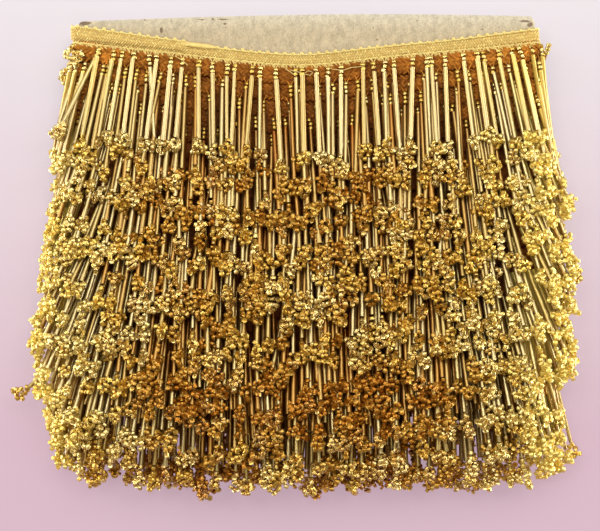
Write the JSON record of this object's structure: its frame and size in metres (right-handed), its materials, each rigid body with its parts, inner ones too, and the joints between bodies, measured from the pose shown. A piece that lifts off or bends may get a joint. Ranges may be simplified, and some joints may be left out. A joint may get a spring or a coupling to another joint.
{
  "type": "roll of tassel fringe",
  "caption": "Gold beaded tassel fringe wound on a flat greyboard card: overlapping turns of bugle-bead strands with seed-bead tips.",
  "frame": {"origin": "bottom centre of the roll's box, on the surface that it lies on", "axes": "+X along the braid at the front, +Y towards the card's bare edge, +Z out of the front face"},
  "size_m": [0.2744, 0.2334, 0.0336],
  "materials": {
    "greyboard": "matte",
    "gold_braid": "satin",
    "gold_beads": "satin"
  },
  "bodies": {
    "root": {"card": "greyboard", "top_heading": "gold_braid", "wound_roll": "gold_beads", "top_fringe": "gold_beads", "fringe_tier_2": "gold_beads", "fringe_tier_3": "gold_beads", "fringe_tier_4": "gold_beads", "fringe_tier_5": "gold_beads", "fringe_tier_6": "gold_beads", "fringe_tier_7": "gold_beads"}
  },
  "joints": []
}
